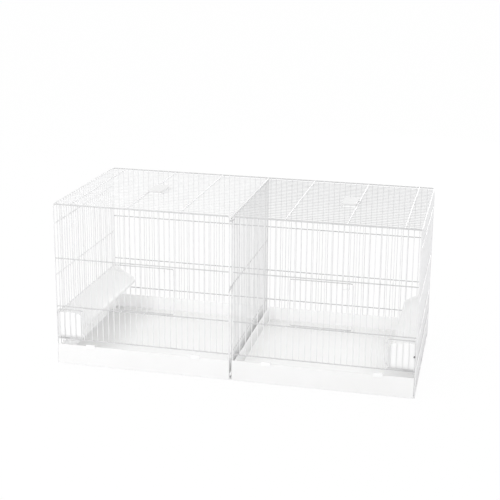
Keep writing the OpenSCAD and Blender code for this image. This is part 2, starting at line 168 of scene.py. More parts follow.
# A loop bent round a wire: a flat oval section turned once round the axis.
def wireLoop(bm, centre, axis, outer, bore, width, steps=20):
    axis = Vector(axis)
    centre = Vector(centre) * mm
    side = axis.orthogonal().normalized()
    middle = (outer + bore) / 2 * mm
    across = side.cross(axis)
    place = Matrix.Translation(centre + side * middle) @ Matrix((side, axis, across)).transposed().to_4x4()
    oval = Matrix.Diagonal(((outer - bore) / 2 * mm, width / 2 * mm, 1, 1))
    ring = bmesh.ops.create_circle(bm, segments=10, radius=1.0, matrix=place @ oval)["verts"]
    edges = edgesOf(ring)
    bmesh.ops.spin(bm, geom=edges, cent=centre, axis=axis, angle=2 * pi, steps=steps,
                   dvec=(0, 0, 0), use_merge=True, use_duplicate=False)


def finishPiece(name, bm, material, body, nodes, side="right", tidy=True, sharp=40):
    if side == "left":
        bmesh.ops.scale(bm, vec=(-1, 1, 1), verts=bm.verts)
        bmesh.ops.reverse_faces(bm, faces=bm.faces)
    if tidy:
        bmesh.ops.recalc_face_normals(bm, faces=bm.faces)
    mesh = bpy.data.meshes.new(name)
    bm.to_mesh(mesh)
    bm.free()
    for face in mesh.polygons:
        face.use_smooth = True
    mesh.set_sharp_from_angle(angle=radians(sharp))
    for one in material if isinstance(material, tuple) else (material,):
        mesh.materials.append(one)
    piece = bpy.data.objects.new(name, mesh)
    scene.collection.objects.link(piece)
    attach(piece, body)
    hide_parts(*nodes)
    return piece


def roundEdges(piece, width, segments=3, limit=35):
    bevel = piece.modifiers.new("roundedEdges", "BEVEL")
    bevel.width = width * mm
    bevel.segments = segments
    bevel.limit_method = "ANGLE"
    bevel.angle_limit = radians(limit)
    bevel.harden_normals = False
    bevel.use_clamp_overlap = True


def addNode(tree, kind, **settings):
    node = tree.nodes.new(kind)
    for key, value in settings.items():
        setattr(node, key, value)
    return node


def newGroup(name, inputs, outputs):
    group = bpy.data.node_groups.new(name, "ShaderNodeTree")
    for label, kind, value in inputs:
        socket = group.interface.new_socket(name=label, in_out="INPUT", socket_type=kind)
        socket.default_value = value
    for label, kind in outputs:
        group.interface.new_socket(name=label, in_out="OUTPUT", socket_type=kind)
    return group, group.nodes.new("NodeGroupInput"), group.nodes.new("NodeGroupOutput")


def tintByMask(tree, mask, first, second, link):
    mix = addNode(tree, "ShaderNodeMix", data_type="RGBA")
    link(mask, mix.inputs["Factor"])
    link(first, mix.inputs["A"])
    link(second, mix.inputs["B"])
    return mix.outputs["Result"]


# Cloudy tone and fine skin of a coating or a moulded plastic.
def makeSkinGroup():
    group, given, out = newGroup("skinVariation", [
        ("Color", "NodeSocketColor", (0.9, 0.9, 0.9, 1)),
        ("Shade", "NodeSocketColor", (0.8, 0.8, 0.8, 1)),
        ("Cloud Scale", "NodeSocketFloat", 14.0),
        ("Grain Scale", "NodeSocketFloat", 900.0),
        ("Rough Low", "NodeSocketFloat", 0.35),
        ("Rough High", "NodeSocketFloat", 0.5),
    ], [("Color", "NodeSocketColor"), ("Roughness", "NodeSocketFloat"), ("Height", "NodeSocketFloat")])
    link = group.links.new
    place = addNode(group, "ShaderNodeTexCoord")
    clouds = addNode(group, "ShaderNodeTexNoise")
    clouds.inputs["Detail"].default_value = 4.0
    link(place.outputs["Object"], clouds.inputs["Vector"])
    link(given.outputs["Cloud Scale"], clouds.inputs["Scale"])
    grain = addNode(group, "ShaderNodeTexNoise")
    grain.inputs["Detail"].default_value = 2.0
    grain.inputs["Roughness"].default_value = 0.6
    link(place.outputs["Object"], grain.inputs["Vector"])
    link(given.outputs["Grain Scale"], grain.inputs["Scale"])
    mask = addNode(group, "ShaderNodeMapRange")
    mask.inputs["From Min"].default_value = 0.35
    mask.inputs["From Max"].default_value = 0.75
    link(clouds.outputs["Fac"], mask.inputs["Value"])
    link(tintByMask(group, mask.outputs["Result"], given.outputs["Color"], given.outputs["Shade"], link),
         out.inputs["Color"])
    both = addNode(group, "ShaderNodeMath", operation="MULTIPLY_ADD")
    both.inputs[1].default_value = 0.5
    link(grain.outputs["Fac"], both.inputs[0])
    half = addNode(group, "ShaderNodeMath", operation="MULTIPLY")
    half.inputs[1].default_value = 0.5
    link(clouds.outputs["Fac"], half.inputs[0])
    link(half.outputs["Value"], both.inputs[2])
    rough = addNode(group, "ShaderNodeMapRange")
    rough.inputs["From Min"].default_value = 0.3
    rough.inputs["From Max"].default_value = 0.7
    link(both.outputs["Value"], rough.inputs["Value"])
    link(given.outputs["Rough Low"], rough.inputs["To Min"])
    link(given.outputs["Rough High"], rough.inputs["To Max"])
    link(rough.outputs["Result"], out.inputs["Roughness"])
    link(grain.outputs["Fac"], out.inputs["Height"])
    return group


# A light film of husk dust on what faces upwards, thicker in patches.
def makeDustGroup():
    group, given, out = newGroup("settledDust", [
        ("Color", "NodeSocketColor", (0.9, 0.9, 0.9, 1)),
        ("Dust", "NodeSocketColor", (0.8, 0.78, 0.74, 1)),
        ("Amount", "NodeSocketFloat", 0.2),
        ("Patch Scale", "NodeSocketFloat", 25.0),
    ], [("Color", "NodeSocketColor")])
    link = group.links.new
    place = addNode(group, "ShaderNodeTexCoord")
    facing = addNode(group, "ShaderNodeSeparateXYZ")
    link(place.outputs["Normal"], facing.inputs["Vector"])
    upward = addNode(group, "ShaderNodeMapRange")
    upward.inputs["From Min"].default_value = 0.2
    upward.inputs["From Max"].default_value = 1.0
    link(facing.outputs["Z"], upward.inputs["Value"])
    patches = addNode(group, "ShaderNodeTexNoise")
    patches.inputs["Detail"].default_value = 5.0
    patches.inputs["Roughness"].default_value = 0.65
    link(place.outputs["Object"], patches.inputs["Vector"])
    link(given.outputs["Patch Scale"], patches.inputs["Scale"])
    spread = addNode(group, "ShaderNodeMapRange")
    spread.inputs["From Min"].default_value = 0.35
    spread.inputs["From Max"].default_value = 0.8
    link(patches.outputs["Fac"], spread.inputs["Value"])
    film = addNode(group, "ShaderNodeMath", operation="MULTIPLY")
    link(upward.outputs["Result"], film.inputs[0])
    link(spread.outputs["Result"], film.inputs[1])
    amount = addNode(group, "ShaderNodeMath", operation="MULTIPLY", use_clamp=True)
    link(film.outputs["Value"], amount.inputs[0])
    link(given.outputs["Amount"], amount.inputs[1])
    link(tintByMask(group, amount.outputs["Value"], given.outputs["Color"], given.outputs["Dust"], link),
         out.inputs["Color"])
    return group


skinGroup = makeSkinGroup()
dustGroup = makeDustGroup()


# Light comes through thin upright walls, and not through a floor that lies over the base.
def uprightMask(tree, share):
    link = tree.links.new
    place = addNode(tree, "ShaderNodeTexCoord")
    parts = addNode(tree, "ShaderNodeSeparateXYZ")
    link(place.outputs["Normal"], parts.inputs["Vector"])
    level = addNode(tree, "ShaderNodeMath", operation="ABSOLUTE")
    link(parts.outputs["Z"], level.inputs[0])
    mask = addNode(tree, "ShaderNodeMapRange")
    mask.inputs["From Min"].default_value = 0.3
    mask.inputs["From Max"].default_value = 0.9
    mask.inputs["To Min"].default_value = share
    mask.inputs["To Max"].default_value = 0.0
    link(level.outputs["Value"], mask.inputs["Value"])
    return mask.outputs["Result"]


def makeFinish(name, s):
    material = bpy.data.materials.new(name)
    material.use_nodes = True
    tree = material.node_tree
    link = tree.links.new
    shader = tree.nodes["Principled BSDF"]
    skin = addNode(tree, "ShaderNodeGroup", node_tree=skinGroup)
    skin.inputs["Color"].default_value = (*s["colour"], 1)
    skin.inputs["Shade"].default_value = (*s["shade"], 1)
    skin.inputs["Cloud Scale"].default_value = s["clouds"]
    skin.inputs["Grain Scale"].default_value = s["grain"]
    skin.inputs["Rough Low"].default_value, skin.inputs["Rough High"].default_value = s["rough"]
    colour = skin.outputs["Color"]
    if s.get("dust"):
        dust = addNode(tree, "ShaderNodeGroup", node_tree=dustGroup)
        dust.inputs["Dust"].default_value = (*s["dustColour"], 1)
        dust.inputs["Amount"].default_value = s["dust"]
        dust.inputs["Patch Scale"].default_value = s["patches"]
        link(colour, dust.inputs["Color"])
        colour = dust.outputs["Color"]
    link(colour, shader.inputs["Base Color"])
    link(skin.outputs["Roughness"], shader.inputs["Roughness"])
    bump = addNode(tree, "ShaderNodeBump")
    bump.inputs["Strength"].default_value = s["bump"]
    bump.inputs["Distance"].default_value = s["depth"] * mm
    link(skin.outputs["Height"], bump.inputs["Height"])
    link(bump.outputs["Normal"], shader.inputs["Normal"])
    shader.inputs["Metallic"].default_value = s.get("metal", 0.0)
    shader.inputs["Specular IOR Level"].default_value = s.get("gloss", 0.5)
    shader.inputs["Coat Weight"].default_value = s.get("coat", 0.0)
    shader.inputs["Coat Roughness"].default_value = s.get("coatRough", 0.1)
    if s.get("throughWalls"):
        link(uprightMask(tree, s["throughWalls"]), shader.inputs["Subsurface Weight"])
        shader.inputs["Subsurface Radius"].default_value = (1, 1, 1)
        shader.inputs["Subsurface Scale"].default_value = s["lightDepth"] * mm
    return material


wireLook = {"clouds": 55.0, "grain": 1400.0, "rough": (0.28, 0.42), "bump": 0.25, "depth": 0.05,
            "metal": 0.15, "dust": 0.2, "patches": 60.0}
coatedWire = makeFinish("coatedWire", wireLook | {
    "colour": (0.85, 0.85, 0.855), "shade": (0.78, 0.78, 0.785), "dustColour": (0.66, 0.65, 0.62)})
# A darker copy of the wire coating for rails and level wires: painted shade.
railShadeWire = makeFinish("railShadeWire", wireLook | {
    "colour": (0.64, 0.64, 0.645), "shade": (0.56, 0.56, 0.565), "dustColour": (0.6, 0.59, 0.57)})
# A darker copy of the wire coating, used for the divider; on the right roof's long wires it is painted shade.
dividerAndShadeWire = makeFinish("dividerAndShadeWire", wireLook | {
    "colour": (0.72, 0.72, 0.725), "shade": (0.65, 0.65, 0.655), "dustColour": (0.64, 0.63, 0.61)})
# The tray shell and its front plate are one moulding: the shell takes a brighter copy of the plastic, painted
# light in the shaded inside.
litTrayPlastic = makeFinish("litTrayPlastic", {
    "colour": (0.95, 0.95, 0.95), "shade": (0.93, 0.93, 0.925), "clouds": 9.0, "grain": 700.0,
    "rough": (0.42, 0.6), "bump": 0.2, "depth": 0.06, "throughWalls": 0.85, "lightDepth": 8.0,
    "dust": 0.2, "dustColour": (0.9, 0.895, 0.88), "patches": 18.0,
})
# The tray's front plate takes a darker copy of the same plastic: painted shade on the lit front face.
shadedTrayFrontPlastic = makeFinish("shadedTrayFrontPlastic", {
    "colour": (0.88, 0.88, 0.88), "shade": (0.86, 0.86, 0.855), "clouds": 9.0, "grain": 700.0,
    "rough": (0.36, 0.52), "bump": 0.2, "depth": 0.06,
    "dust": 0.2, "dustColour": (0.86, 0.855, 0.84), "patches": 18.0,
})
feederPlastic = makeFinish("feederPlastic", {
    "colour": (0.87, 0.87, 0.87), "shade": (0.85, 0.85, 0.85), "clouds": 9.0, "grain": 500.0,
    "rough": (0.26, 0.36), "bump": 0.08, "depth": 0.04, "coat": 0.1, "coatRough": 0.2,
    "dust": 0.1, "dustColour": (0.83, 0.825, 0.81), "patches": 14.0,
})
# A whiter, glossier copy of the feeder plastic for the front caps: painted light on the caps' front faces.
litCapPlastic = makeFinish("litCapPlastic", {
    "colour": (0.97, 0.97, 0.97), "shade": (0.95, 0.95, 0.95), "clouds": 16.0, "grain": 500.0,
    "rough": (0.16, 0.3), "bump": 0.12, "depth": 0.05, "coat": 0.3, "coatRough": 0.08,
    "dust": 0.2, "dustColour": (0.88, 0.87, 0.85), "patches": 30.0,
})
trimPlastic = makeFinish("trimPlastic", {
    "colour": (0.94, 0.94, 0.94), "shade": (0.9, 0.9, 0.9), "clouds": 40.0, "grain": 900.0,
    "rough": (0.2, 0.34), "bump": 0.15, "depth": 0.04,
    "dust": 0.2, "dustColour": (0.84, 0.83, 0.8), "patches": 60.0,
})
roofPlastic = makeFinish("roofPlastic", {
    "colour": (0.82, 0.82, 0.82), "shade": (0.77, 0.77, 0.77), "clouds": 40.0, "grain": 900.0,
    "rough": (0.24, 0.38), "bump": 0.15, "depth": 0.04,
    "dust": 0.2, "dustColour": (0.76, 0.75, 0.73), "patches": 60.0,
})
knobRubber = makeFinish("knobRubber", {
    "colour": (0.16, 0.16, 0.165), "shade": (0.11, 0.11, 0.115), "clouds": 200.0, "grain": 2500.0,
    "rough": (0.5, 0.7), "bump": 0.4, "depth": 0.08,
})
print("finishes are mixed")


# Sizes are in millimetres. The right half is modelled and mirrored to the left, apart from the lid's place, the
# painted shade on the right roof's long wires and the one knob. A front bar that ends at a rail runs past it by
# the tail, and a weld bead is sunk in by the sink.
grid = {"pitch": 14.6, "thin": 2.0, "rail": 2.8, "post": 3.2, "rows": 13, "bars": 29, "tail": 2.0}
bead = {"sink": 0.15, "cross": 1.35, "along": 1.1, "postIn": 1.3, "post": (1.2, 1.75, 1.75)}
shell = {
    "postX": 448.4, "innerX": 4.4, "faceY": 205.0, "barIn": 2.1, "rearFoot": 6.6, "barTop": 416.0,
    "topZ": 414.8, "middleZ": 277.0, "lowZ": 152.0, "sillZ": 67.0, "railFrom": 5.2, "railTo": 447.6,
    "corner": 7.0, "frameSteps": 6, "frameSides": 16, "railSides": 14,
}
gate = {
    "from": 142.0, "to": 296.0, "low": 155.9, "top": 272.0, "wire": 2.4, "corner": 6.0,
    "barY": -203.1, "firstBar": 10, "lastBar": 19, "loops": (160.6, 219.0, 277.4),
    "loopR": 3.45, "loopBore": 1.815, "loopWide": 2.4,
    "room": 3.0, "loopBead": (1.7, 1.3, 1.1),
}
cornerGate = {
    "from": 380.2, "to": 446.2, "low": 71.2, "top": 144.0, "wire": 2.4, "corner": 4.5,
    "barY": -203.1, "firstBar": 26, "lastBar": 29, "loops": (81.2, 134.0), "pinX": 377.5,
    "loopR": 3.2, "loopBore": 1.6, "loopWide": 2.4,
    "pinEnds": (1.0, 0.5), "loopBead": (1.1, 1.3, 1.7),
}


def barX(j):
    return (j + 0.5) * grid["pitch"]


def crossBead(bm, place, along):
    size = [bead["cross"]] * 3
    size["xyz".index(along)] = bead["along"]
    weldBead(bm, place, size)


# A bent frame of post wire, open at the foot, with painted shade darkening its top wire.
def bentFrame(bm, fromX, y):
    bendWire(bm, [(fromX, y, 0), (fromX, y, shell["topZ"]), (shell["postX"], y, shell["topZ"]),
                  (shell["postX"], y, 0)], grid["post"], bend=shell["corner"],
             sides=shell["frameSides"], steps=shell["frameSteps"])
    shadeLevelWires(bm, [shell["topZ"]])


# The level rails of a frame, welded to the posts at both ends.
def frameRails(bm, fromX, railFrom, y):
    for z in (shell["middleZ"], shell["lowZ"], shell["sillZ"]):
        # The rails take the darker rail material: painted shade.
        bendWire(bm, [(railFrom, y, z), (shell["railTo"], y, z)], grid["rail"],
                 sides=shell["railSides"], coat=1)
        for x in (fromX + bead["postIn"], shell["postX"] - bead["postIn"]):
            weldBead(bm, (x, y, z), bead["post"])


def frontPanel(side):
    bm = bmesh.new()
    y = -shell["faceY"]
    barY = y + shell["barIn"]
    beadY = y + grid["rail"] / 2 - bead["sink"]
    tail = grid["tail"]
    bentFrame(bm, shell["innerX"], y)
    frameRails(bm, shell["innerX"], shell["railFrom"], y)
    pinX = cornerGate["pinX"]
    below, above = cornerGate["pinEnds"]
    bendWire(bm, [(pinX, y, shell["sillZ"] - below), (pinX, y, shell["lowZ"] + above)], cornerGate["wire"])
    for j in range(1, grid["bars"] + 1):
        x = barX(j)
        inGate = gate["from"] - gate["room"] < x < gate["to"] + gate["room"]
        start = (shell["lowZ"] if x > pinX else shell["sillZ"]) - tail
        spans = [(start, shell["barTop"])]
        if inGate:
            spans = [(start, shell["lowZ"] + tail), (shell["middleZ"] - tail, shell["barTop"])]
        for z0, z1 in spans:
            bendWire(bm, [(x, barY, z0), (x, barY, z1)], grid["thin"])
        for z in (shell["sillZ"], shell["lowZ"], shell["middleZ"], shell["topZ"]):
            if z > start:
                crossBead(bm, (x, beadY, z), "y")
    finishPiece("frontPanel" + side.capitalize(), bm, (coatedWire, railShadeWire), "cage",
                ["front_posts", "feeder_sills"] + [
                    f"front_{band}_{side}" for band in ("upper", "inner", "outer", "lower")], side)


def rearPanel():
    bm = bmesh.new()
    y = shell["faceY"]
    barY = y - shell["barIn"]
    beadY = y - grid["rail"] / 2 + bead["sink"]
    bentFrame(bm, -shell["postX"], y)
    frameRails(bm, -shell["postX"], -shell["railTo"], y)
    for j in range(-grid["bars"] - 1, grid["bars"] + 1):
        x = barX(j)
        bendWire(bm, [(x, barY, shell["rearFoot"]), (x, barY, shell["barTop"])], grid["thin"])
        for z in (shell["sillZ"], shell["lowZ"], shell["middleZ"], shell["topZ"]):
            crossBead(bm, (x, beadY, z), "y")
    finishPiece("rearPanel", bm, (coatedWire, railShadeWire), "cage", ["rear_panel"])


endSet = {"barX": 446.3, "railZ": (67.0, 133.0, 233.0, 365.0, 415.0), "railEnd": 204.0, "from": 3.2,
          "beadIn": 0.6, "bead": (1.55, 1.2, 1.75)}


def endPanel(side):
    bm = bmesh.new()
    x = shell["postX"]
    beadX = x - grid["rail"] / 2 + bead["sink"]
    wireX = endSet["barX"]
    railEnd = endSet["railEnd"]
    for z in endSet["railZ"]:
        bendWire(bm, [(x, -railEnd, z), (x, railEnd, z)], grid["rail"], sides=shell["railSides"])
        for s in (-1, 1):
            weldBead(bm, (x, s * (railEnd - endSet["beadIn"]), z), endSet["bead"])
    for k in range(-grid["rows"], grid["rows"] + 1):
        y = k * grid["pitch"]
        bendWire(bm, [(wireX, y, endSet["from"]), (wireX, y, shell["barTop"])], grid["thin"])
        for z in endSet["railZ"]:
            crossBead(bm, (beadX, y, z), "x")
    finishPiece("endPanel" + side.capitalize(), bm, coatedWire, "cage", ["end_panel_" + side], side)


# coat picks the long wires' material: index 1 is the darker wire, painted shade on the right panel.
roofSet = {
    "z": 412.9, "crossZ": 415.0, "crossX": (128.5, 408.9), "crossEnd": 203.8, "from": 2.4, "to": 446.0,
    "cutRows": (-2, 1), "lidX": {"right": 275.0, "left": 263.0}, "edgeIn": 37.1, "edgeY": (-45.8, 31.2),
    "over": 1.4, "coat": {"right": 1, "left": 0},
}


# The long wires stop at the lid's opening, and those of the right panel take a darker wire material, which is
# painted shade.
def roofPanel(side):
    bm = bmesh.new()
    s = roofSet
    beadZ = s["z"] + grid["thin"] / 2 - bead["sink"]
    lidX = s["lidX"][side]
    edgeX = lidX - s["edgeIn"]
    wires = [(x, -s["crossEnd"], s["crossEnd"]) for x in (*s["crossX"], lidX)] + [(edgeX, *s["edgeY"])]
    for x, y0, y1 in wires:
        bendWire(bm, [(x, y0, s["crossZ"]), (x, y1, s["crossZ"])], grid["rail"], sides=shell["railSides"])
    for k in range(-grid["rows"], grid["rows"] + 1):
        y = k * grid["pitch"]
        spans = [(s["from"], s["to"])]
        if s["cutRows"][0] <= k <= s["cutRows"][1]:
            spans = [(s["from"], edgeX + s["over"]), (lidX - s["over"], s["to"])]
        for x0, x1 in spans:
            bendWire(bm, [(x0, y, s["z"]), (x1, y, s["z"])], grid["thin"], coat=s["coat"][side])
        for x in (*s["crossX"], lidX):
            crossBead(bm, (x, y, beadZ), "z")
        if s["edgeY"][0] < y < s["edgeY"][1]:
            crossBead(bm, (edgeX, y, beadZ), "z")
    finishPiece("roofPanel" + side.capitalize(), bm, (coatedWire, dividerAndShadeWire), "cage",
                ["roof_" + side], side)


baseSet = {"runners": (0.0, 150.0, 300.0, 448.4), "runnerY": 203.2, "runnerZ": 1.6, "railX": 449.4,
           "railY": 199.4, "railZ": 4.8, "beadZ": 3.2, "bead": (1.55, 1.9, 1.0)}


def baseWires():
    bm = bmesh.new()
    b = baseSet
    for x in b["runners"]:
        for s in ((1,) if x == 0 else (-1, 1)):
            bendWire(bm, [(s * x, -b["runnerY"], b["runnerZ"]), (s * x, b["runnerY"], b["runnerZ"])],
                     grid["post"])
            for t in (-1, 1):
                weldBead(bm, (s * x, t * b["railY"], b["beadZ"]), b["bead"])
    finishPiece("baseRunners", bm, coatedWire, "cage", ["base_runners"])
    bm = bmesh.new()
    for s in (-1, 1):
        bendWire(bm, [(-b["railX"], s * b["railY"], b["railZ"]), (b["railX"], s * b["railY"], b["railZ"])],
                 grid["post"])
    finishPiece("baseRails", bm, coatedWire, "cage", ["base_rails"])


for side in ("right", "left"):
    frontPanel(side)
    endPanel(side)
    roofPanel(side)
rearPanel()
baseWires()
print("welded panels are made")

doorSet = {"past": 0.8, "beadIn": 0.6, "frameSides": 14, "frameSteps": 6}


def wireDoor(bm, s, y):
    inset = s["wire"] / 2
    x0, x1 = s["from"] + inset, s["to"] - inset
    bendWire(bm, [(x0, y, s["low"]), (x1, y, s["low"]), (x1, y, s["top"]), (x0, y, s["top"])], s["wire"],
             bend=s["corner"], closed=True, sides=doorSet["frameSides"], steps=doorSet["frameSteps"])
    # The frame's level wires take the darker rail material: painted shade.
    shadeLevelWires(bm, (s["low"], s["top"]))
    past = doorSet["past"]
    for j in range(s["firstBar"], s["lastBar"] + 1):
        x = barX(j)
        bendWire(bm, [(x, s["barY"], s["low"] - past), (x, s["barY"], s["top"] + past)], grid["thin"])
        for z in (s["low"], s["top"]):
            crossBead(bm, (x, y + inset - bead["sink"], z), "y")


def gateDoor(side):
    bm = bmesh.new()
    y = -shell["faceY"]
    wireDoor(bm, gate, y)
    for x in gate["loops"]:
        wireLoop(bm, (x, y, shell["lowZ"]), (1, 0, 0), gate["loopR"], gate["loopBore"], gate["loopWide"])
        weldBead(bm, (x, y, gate["low"] - doorSet["beadIn"]), gate["loopBead"])
    finishPiece("gateDoor" + side.capitalize(), bm, (coatedWire, railShadeWire), "door_" + side,
                ["door_" + side], side)


catchSet = {"y": -205.4, "frontY": -207.9, "z": 257.0, "from": 269.4, "to": 286.5, "tick": 262.0,
            "linkX": 280.0, "linkTop": 280.4, "wire": 2.0, "bend": 1.6}


def doorCatch(side):
    bm = bmesh.new()
    s = catchSet
    bendWire(bm, [(s["from"], s["y"], s["z"]), (s["to"], s["y"], s["z"]), (s["to"], s["y"], s["tick"])],
             s["wire"], bend=s["bend"])
    bendWire(bm, [(s["linkX"], s["y"], s["z"]), (s["linkX"], s["frontY"], s["z"]),
                  (s["linkX"], s["frontY"], s["linkTop"])], s["wire"], bend=s["bend"])
    finishPiece("doorCatch" + side.capitalize(), bm, coatedWire, "catch_" + side,
                ["door_catch_" + side], side)


def feederDoor(side):
    bm = bmesh.new()
    y = -shell["faceY"]
    s = cornerGate
    wireDoor(bm, s, y)
    for z in s["loops"]:
        wireLoop(bm, (s["pinX"], y, z), (0, 0, 1), s["loopR"], s["loopBore"], s["loopWide"])
        weldBead(bm, (s["from"] + doorSet["beadIn"], y, z), s["loopBead"])
    finishPiece("feederDoor" + side.capitalize(), bm, (coatedWire, railShadeWire), "corner_door_" + side,
                ["corner_door_" + side], side)


knobSet = {"x": 444.4, "z": 106.0, "y": -206.2, "long": 5.0, "r": 2.0, "taper": 0.88, "edge": 0.6}


def bevelEdges(bm, edges, size, segments):
    bmesh.ops.bevel(bm, geom=edges, offset=size * mm, offset_type="OFFSET", affect="EDGES",
                    segments=segments, profile=0.5, material=-1)


def cornerKnob():
    bm = bmesh.new()
    s = knobSet
    middle = Vector((s["x"], s["y"] - s["long"] / 2, s["z"])) * mm
    made = bmesh.ops.create_cone(bm, cap_ends=True, segments=24, radius1=s["r"] * mm * s["taper"],
                                 radius2=s["r"] * mm, depth=s["long"] * mm,
                                 matrix=Matrix.Translation(middle) @ Matrix.Rotation(radians(90), 4, "X"))
    rims = [e for e in edgesOf(made["verts"]) if abs(e.verts[0].co.y - e.verts[1].co.y) < joinGap]
    bevelEdges(bm, rims, s["edge"], 3)
    finishPiece("cornerKnob", bm, knobRubber, "corner_door_right", ["corner_knob"])


for side in ("right", "left"):
    gateDoor(side)
    doorCatch(side)
    feederDoor(side)
cornerKnob()
print("doors are hung")

traySet = {
    "x": (6.5, 444.8), "y": (-206.9, 199.0), "z": (6.7, 47.0), "wall": 2.5, "cornerR": 9.0, "floorR": 5.0,
    "frontX": (3.0, 446.0), "frontY": (-209.9, -206.9), "frontZ": (1.0, 53.0), "edge": 0.8,
}


def boxInto(bm, x, y, z):
    size = Vector((x[1] - x[0], y[1] - y[0], z[1] - z[0])) * mm
    middle = Vector((x[0] + x[1], y[0] + y[1], z[0] + z[1])) / 2 * mm
    bmesh.ops.create_cube(bm, size=1.0, matrix=Matrix.Translation(middle) @ Matrix.Diagonal(size).to_4x4())


def isUpright(edge):
    return abs(edge.verts[0].co.z - edge.verts[1].co.z) > 1 * mm


def giveWall(piece, thick, offset=-1):
    wall = piece.modifiers.new("wall", "SOLIDIFY")
    wall.thickness = thick * mm
    wall.offset = offset


# An open box with rounded corners, whose wall is then made inwards.
def trayShell(side):
    bm = bmesh.new()
    s = traySet
    boxInto(bm, s["x"], s["y"], s["z"])
    bmesh.ops.delete(bm, geom=[f for f in bm.faces if f.normal.z > 0.9], context="FACES_ONLY")
    bevelEdges(bm, [e for e in bm.edges if isUpright(e) and e.verts[0].co.y > 0], s["cornerR"], 5)
    low = [e for e in bm.edges if max(v.co.z for v in e.verts) < (s["z"][0] + 0.1) * mm]
    bevelEdges(bm, low, s["floorR"], 4)
    bmesh.ops.recalc_face_normals(bm, faces=bm.faces)
    if min(bm.faces, key=lambda f: f.calc_center_median().z).normal.z > 0:
        bmesh.ops.reverse_faces(bm, faces=bm.faces)
    piece = finishPiece("trayShell" + side.capitalize(), bm, litTrayPlastic, "tray_" + side,
                        ["tray_" + side], side, tidy=False)
    giveWall(piece, s["wall"])
    roundEdges(piece, s["edge"], 3)


def trayFront(side):
    bm = bmesh.new()
    s = traySet
    boxInto(bm, s["frontX"], s["frontY"], s["frontZ"])
    piece = finishPiece("trayFront" + side.capitalize(), bm, shadedTrayFrontPlastic, "tray_" + side,
                        ["tray_" + side], side)
    roundEdges(piece, s["edge"], 3)


clipSet = {"x": (88.5, 360.5), "wide": 23.0, "y": (-211.3, -205.5), "z": (47.0, 57.0), "wall": 1.4,
           "edge": 0.45}


# Each clip is a strip bent into an upturned U: its middle line is walked up, over and down.
def trayClips(side):
    bm = bmesh.new()
    s = clipSet
    w = s["wall"] / 2
    rise = s["z"][1] - s["z"][0] - w
    for x in s["x"]:
        start = Vector((x - s["wide"] / 2, s["y"][0] + w, s["z"][0])) * mm
        first = bmesh.ops.create_vert(bm, co=start)["vert"][0]
        second = bmesh.ops.create_vert(bm, co=start + Vector((s["wide"] * mm, 0, 0)))["vert"][0]
        edge = bmesh.ops.contextual_create(bm, geom=[first, second])["edges"]
        for shift in ((0, 0, rise), (0, s["y"][1] - s["y"][0] - 2 * w, 0), (0, 0, -rise)):
            edge = pullRing(bm, edge, Vector(shift) * mm)
    bmesh.ops.recalc_face_normals(bm, faces=bm.faces)
    piece = finishPiece("trayClips" + side.capitalize(), bm, trimPlastic, "tray_" + side,
                        ["tray_clips_" + side], side, tidy=False, sharp=30)
    giveWall(piece, s["wall"], 0)
    roundEdges(piece, s["edge"], 2)


for side in ("right", "left"):
    trayShell(side)
    trayFront(side)
    trayClips(side)
print("trays are in")

feederSet = {
    "wallX": 445.0, "sideX": 383.0, "lowZ": 62.0, "topZ": 134.0, "upperR": 8.0, "upperZ": 93.0,
    "underR": 12.0, "underX": 427.0, "y": (-197.7, 178.0), "wall": 2.0, "slotZ": (70.0, 79.0),
    "coverIn": 1.0, "core": (423.0, 95.0), "edge": 0.6,
}
capSet = {"x": 381.0, "low": 67.0, "top": 135.0, "upperR": 24.0, "underR": 16.0, "y": (-200.7, -197.7),
          "edge": 1.0}
rearCapSet = {"y": (178.0, 197.0), "coreY": 185.0}


# A section is walked with straight pulls and turns, as a former bends a strip.
def sectionPath(bm, start, moves, y):
    old = set(bm.edges)
    vert = bmesh.ops.create_vert(bm, co=Vector((start[0], y, start[1])) * mm)["vert"][0]
    for kind, *facts in moves:
        if kind == "line":
            vert = bmesh.ops.extrude_vert_indiv(bm, verts=[vert])["verts"][0]
            vert.co = Vector((facts[0], y, facts[1])) * mm
        else:
            centre, angle, steps = facts
            made = bmesh.ops.spin(bm, geom=[vert], cent=Vector((centre[0], y, centre[1])) * mm,
                                  axis=(0, -1, 0), angle=radians(angle), steps=steps, dvec=(0, 0, 0),
                                  use_merge=False, use_duplicate=False)
            vert = [g for g in made["geom_last"] if isinstance(g, bmesh.types.BMVert)][0]
    return [e for e in bm.edges if e not in old]


# Where the sloping cover meets the rounded nose, and where the nose meets the underside.
def noseFacts(s):
    nose = Vector((s["sideX"] + s["upperR"], s["upperZ"]))
    under = Vector((s["underX"], s["lowZ"] + s["underR"]))
    toWall = Vector((s["wallX"] - s["coverIn"], s["topZ"])) - nose
    topAngle = degrees(atan2(toWall.y, toWall.x) + acos(s["upperR"] / toWall.length))
    fall = under - nose
    lowAngle = degrees(atan2(-fall.x, fall.y)) % 360
    away = Vector((cos(radians(lowAngle)), sin(radians(lowAngle))))
    top = nose + s["upperR"] * Vector((cos(radians(topAngle)), sin(radians(topAngle))))
    return {"nose": nose, "under": under, "topAngle": topAngle, "lowAngle": lowAngle, "top": top,
            "fallFrom": nose + s["upperR"] * away, "fallTo": under + s["underR"] * away}


# How far out the sloping underside lies at a height.
def onFall(facts, z):
    a, b = facts["fallFrom"], facts["fallTo"]
    return a.x + (z - a.y) * (b.x - a.x) / (b.y - a.y)


def faceOutwards(bm):
    bmesh.ops.recalc_face_normals(bm, faces=bm.faces)
    coreX, coreZ = feederSet["core"]
    middle = Vector((coreX, 0, coreZ)) * mm
    for face in bm.faces:
        away = face.calc_center_median() - middle
        away.y = 0
        if face.normal.dot(away) < 0:
            face.normal_flip()


